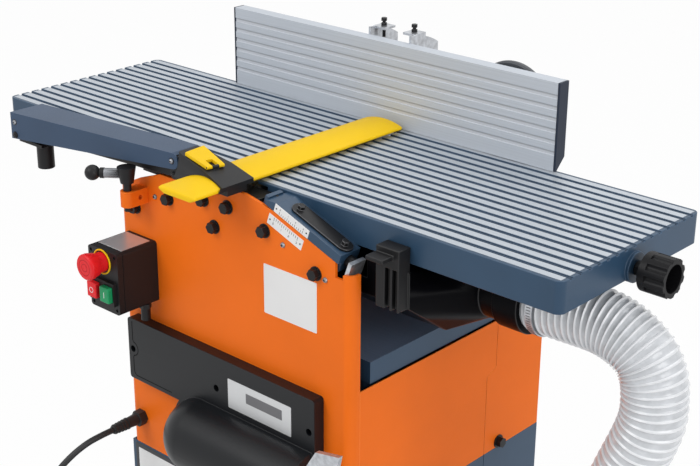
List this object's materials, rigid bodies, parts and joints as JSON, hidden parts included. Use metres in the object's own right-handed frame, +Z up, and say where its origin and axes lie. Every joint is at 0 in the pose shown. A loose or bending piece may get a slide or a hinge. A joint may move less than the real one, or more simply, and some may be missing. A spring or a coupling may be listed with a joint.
{
  "type": "combination planer thicknesser",
  "caption": "Jointer planer on a sheet metal stand with split grooved tables, tilting fence, bridge guard, thicknessing bed, dust hood and hose",
  "frame": {"origin": "centre of the floor bolt pattern of the base stand, on the floor under the cutterblock axis", "axes": "+X along the tables to the infeed end, +Y from the operator to the fence, +Z up"},
  "size_m": [0.988, 0.6046, 0.9875],
  "materials": {
    "base_paint": "satin powder coat",
    "body_paint": "satin powder coat",
    "cover_plastic": "moulded, satin",
    "black_steel": "blackened",
    "table_paint": "machined top, painted sides",
    "bright_steel": "machined",
    "knife_steel": "ground",
    "zinc": "zinc plated",
    "fence_alloy": "anodised extrusion",
    "cap_plastic": "moulded",
    "guard_yellow": "satin, moulded or coated",
    "red_plastic": "moulded",
    "green_plastic": "moulded",
    "black_rubber": "matt",
    "hose_plastic": "clear wall with a white helix",
    "motor_paint": "enamel"
  },
  "bodies": {
    "cabinet": {"base_stand": "base_paint", "front_panel": "body_paint", "rear_panel": "body_paint", "side_panels": "body_paint", "rear_cover": "body_paint", "front_cover": "cover_plastic", "panel_bolts": "black_steel", "outfeed_table": "table_paint", "bearing_housings": "black_steel", "bearings": "bright_steel", "slide_rods": "bright_steel", "cross_bars": "bright_steel", "lock_bracket": "body_paint", "switch_box": "cover_plastic", "strain_relief": "black_rubber", "mains_cord": "black_rubber", "cord_coil": "black_rubber", "plug": "black_rubber", "dust_hood": "cover_plastic", "hose_clamp": "zinc", "dust_hose": "hose_plastic", "hose_cuff": "black_rubber", "motor": "motor_paint", "drive_belt": "black_rubber", "chains": "black_steel", "fence_base": "zinc", "guard_bracket": "black_steel"},
    "infeed": {"infeed_table": "table_paint", "slide_blocks": "table_paint", "link_plate": "black_steel"},
    "depth_screw": {"depth_knob": "cover_plastic"},
    "cutter": {"cutterblock": "bright_steel", "knives": "knife_steel"},
    "motor_rotor": {"motor_shaft": "bright_steel"},
    "feed_drive": {"feed_shaft": "bright_steel"},
    "roller_in": {"infeed_roller": "bright_steel"},
    "roller_out": {"outfeed_roller": "bright_steel"},
    "kickback": {"kickback_fingers": "bright_steel"},
    "bed": {"thicknesser_bed": "table_paint"},
    "screw_1": {"lift_screw_1": "bright_steel"},
    "screw_2": {"lift_screw_2": "bright_steel"},
    "screw_3": {"lift_screw_3": "bright_steel"},
    "screw_4": {"lift_screw_4": "bright_steel"},
    "crank": {"rise_crank": "bright_steel"},
    "fence_body": {"fence": "fence_alloy", "fence_caps": "cap_plastic", "fence_brackets": "zinc", "stop_bolts": "black_steel"},
    "fence_wheel": {"fence_knob": "cap_plastic"},
    "arm": {"guard_arm": "table_paint"},
    "link": {"guard_link": "black_steel"},
    "holder": {"guard_holder": "cover_plastic"},
    "blade": {"guard_blade": "guard_yellow"},
    "latch": {"guard_latch": "guard_yellow"},
    "bracket_knob": {"guard_knob": "cover_plastic"},
    "lock": {"lock_lever": "black_steel", "lock_ball": "cover_plastic"},
    "mushroom": {"mushroom_button": "red_plastic"},
    "start": {"start_button": "green_plastic"},
    "stop": {"stop_button": "red_plastic"}
  },
  "joints": [
    {"name": "cutter_spin", "type": "hinge", "parent": "cabinet", "child": "cutter", "pos_m": [0, 0, 0.829], "axis": [0, 1, 0], "continuous": true},
    {"name": "motor_spin", "type": "hinge", "parent": "cabinet", "child": "motor_rotor", "pos_m": [0.095, 0, 0.524], "axis": [0, 1, 0], "continuous": true},
    {"name": "feed_spin", "type": "hinge", "parent": "cabinet", "child": "feed_drive", "pos_m": [0.0426, -0.15, 0.524], "axis": [0, 1, 0], "continuous": true},
    {"name": "roller_in_spin", "type": "hinge", "parent": "cabinet", "child": "roller_in", "pos_m": [-0.078, 0, 0.815], "axis": [0, 1, 0], "continuous": true},
    {"name": "roller_out_spin", "type": "hinge", "parent": "cabinet", "child": "roller_out", "pos_m": [0.078, 0, 0.815], "axis": [0, 1, 0], "continuous": true},
    {"name": "kickback_swing", "type": "hinge", "parent": "cabinet", "child": "kickback", "pos_m": [-0.118, 0, 0.808], "axis": [0, -1, 0], "range_deg": [0, 35]},
    {"name": "infeed_lower", "type": "slide", "parent": "cabinet", "child": "infeed", "axis": [0.9397, 0, -0.342], "range_m": [0, 0.00876]},
    {"name": "depth_turn", "type": "hinge", "parent": "infeed", "child": "depth_screw", "pos_m": [0.44, 0, 0.8357], "axis": [1, 0, 0], "range_deg": [0, 526]},
    {"name": "crank_turn", "type": "hinge", "parent": "cabinet", "child": "crank", "pos_m": [0.168, -0.2, 0.515], "axis": [0, 1, 0], "range_deg": [0, 1260]},
    {"name": "bed_rise", "type": "slide", "parent": "cabinet", "child": "bed", "axis": [0, 0, 1], "range_m": [0, 0.0281]},
    {"name": "screw_1_turn", "type": "hinge", "parent": "cabinet", "child": "screw_1", "pos_m": [0.168, -0.105, 0.51], "axis": [0, 0, 1], "range_deg": [0, 1260]},
    {"name": "screw_2_turn", "type": "hinge", "parent": "cabinet", "child": "screw_2", "pos_m": [-0.168, -0.105, 0.51], "axis": [0, 0, 1], "range_deg": [0, 1260]},
    {"name": "screw_3_turn", "type": "hinge", "parent": "cabinet", "child": "screw_3", "pos_m": [-0.168, 0.105, 0.51], "axis": [0, 0, 1], "range_deg": [0, 1260]},
    {"name": "screw_4_turn", "type": "hinge", "parent": "cabinet", "child": "screw_4", "pos_m": [0.168, 0.105, 0.51], "axis": [0, 0, 1], "range_deg": [0, 1260]},
    {"name": "fence_tilt", "type": "hinge", "parent": "cabinet", "child": "fence_body", "pos_m": [0, 0.136, 0.864], "axis": [-1, 0, 0], "range_deg": [0, 45]},
    {"name": "fence_wheel_turn", "type": "hinge", "parent": "fence_body", "child": "fence_wheel", "pos_m": [0.168, 0.141, 0.9158], "axis": [0, 1, 0], "range_deg": [-180, 180]},
    {"name": "arm_lift", "type": "hinge", "parent": "cabinet", "child": "arm", "pos_m": [-0.366, -0.165, 0.858], "axis": [0, -1, 0], "range_deg": [0, 16]},
    {"name": "link_lift", "type": "hinge", "parent": "cabinet", "child": "link", "pos_m": [-0.366, -0.16, 0.8407], "axis": [0, -1, 0], "range_deg": [0, 16]},
    {"name": "holder_level", "type": "hinge", "parent": "arm", "child": "holder", "pos_m": [-0.07142, -0.165, 0.8737], "axis": [0, -1, 0], "range_deg": [-16, 0]},
    {"name": "blade_reach", "type": "slide", "parent": "holder", "child": "blade", "axis": [0, 1, 0], "range_m": [-0.2, 0.009]},
    {"name": "latch_open", "type": "hinge", "parent": "holder", "child": "latch", "pos_m": [-0.00224, -0.17527, 0.88269], "axis": [0.2061, 0.9781, -0.0276], "range_deg": [0, 70]},
    {"name": "bracket_knob_turn", "type": "hinge", "parent": "cabinet", "child": "bracket_knob", "pos_m": [-0.339, -0.165, 0.81], "axis": [0, 0, 1], "range_deg": [-180, 180]},
    {"name": "lock_turn", "type": "hinge", "parent": "cabinet", "child": "lock", "pos_m": [-0.147, -0.187, 0.83], "axis": [0, 0, 1], "range_deg": [0, 90]},
    {"name": "mushroom_press", "type": "slide", "parent": "cabinet", "child": "mushroom", "axis": [0, 1, 0], "range_m": [0, 0.006], "stiffness_N_per_m": 400},
    {"name": "start_press", "type": "slide", "parent": "cabinet", "child": "start", "axis": [0, 1, 0], "range_m": [0, 0.003], "stiffness_N_per_m": 300},
    {"name": "stop_press", "type": "slide", "parent": "cabinet", "child": "stop", "axis": [0, 1, 0], "range_m": [0, 0.003], "stiffness_N_per_m": 300}
  ],
  "couplings": [
    {"joint": "motor_spin", "follows": "cutter_spin", "ratio": 0.6},
    {"joint": "feed_spin", "follows": "cutter_spin", "ratio": -0.18},
    {"joint": "roller_in_spin", "follows": "cutter_spin", "ratio": -0.14},
    {"joint": "roller_out_spin", "follows": "cutter_spin", "ratio": -0.14},
    {"joint": "depth_turn", "follows": "infeed_lower", "rad_per_m": 1047.1},
    {"joint": "bed_rise", "follows": "crank_turn", "m_per_rad": 0.0012732},
    {"joint": "screw_1_turn", "follows": "crank_turn", "ratio": 1},
    {"joint": "screw_2_turn", "follows": "crank_turn", "ratio": 1},
    {"joint": "screw_3_turn", "follows": "crank_turn", "ratio": 1},
    {"joint": "screw_4_turn", "follows": "crank_turn", "ratio": 1},
    {"joint": "link_lift", "follows": "arm_lift", "ratio": 1},
    {"joint": "holder_level", "follows": "arm_lift", "ratio": -1}
  ]
}
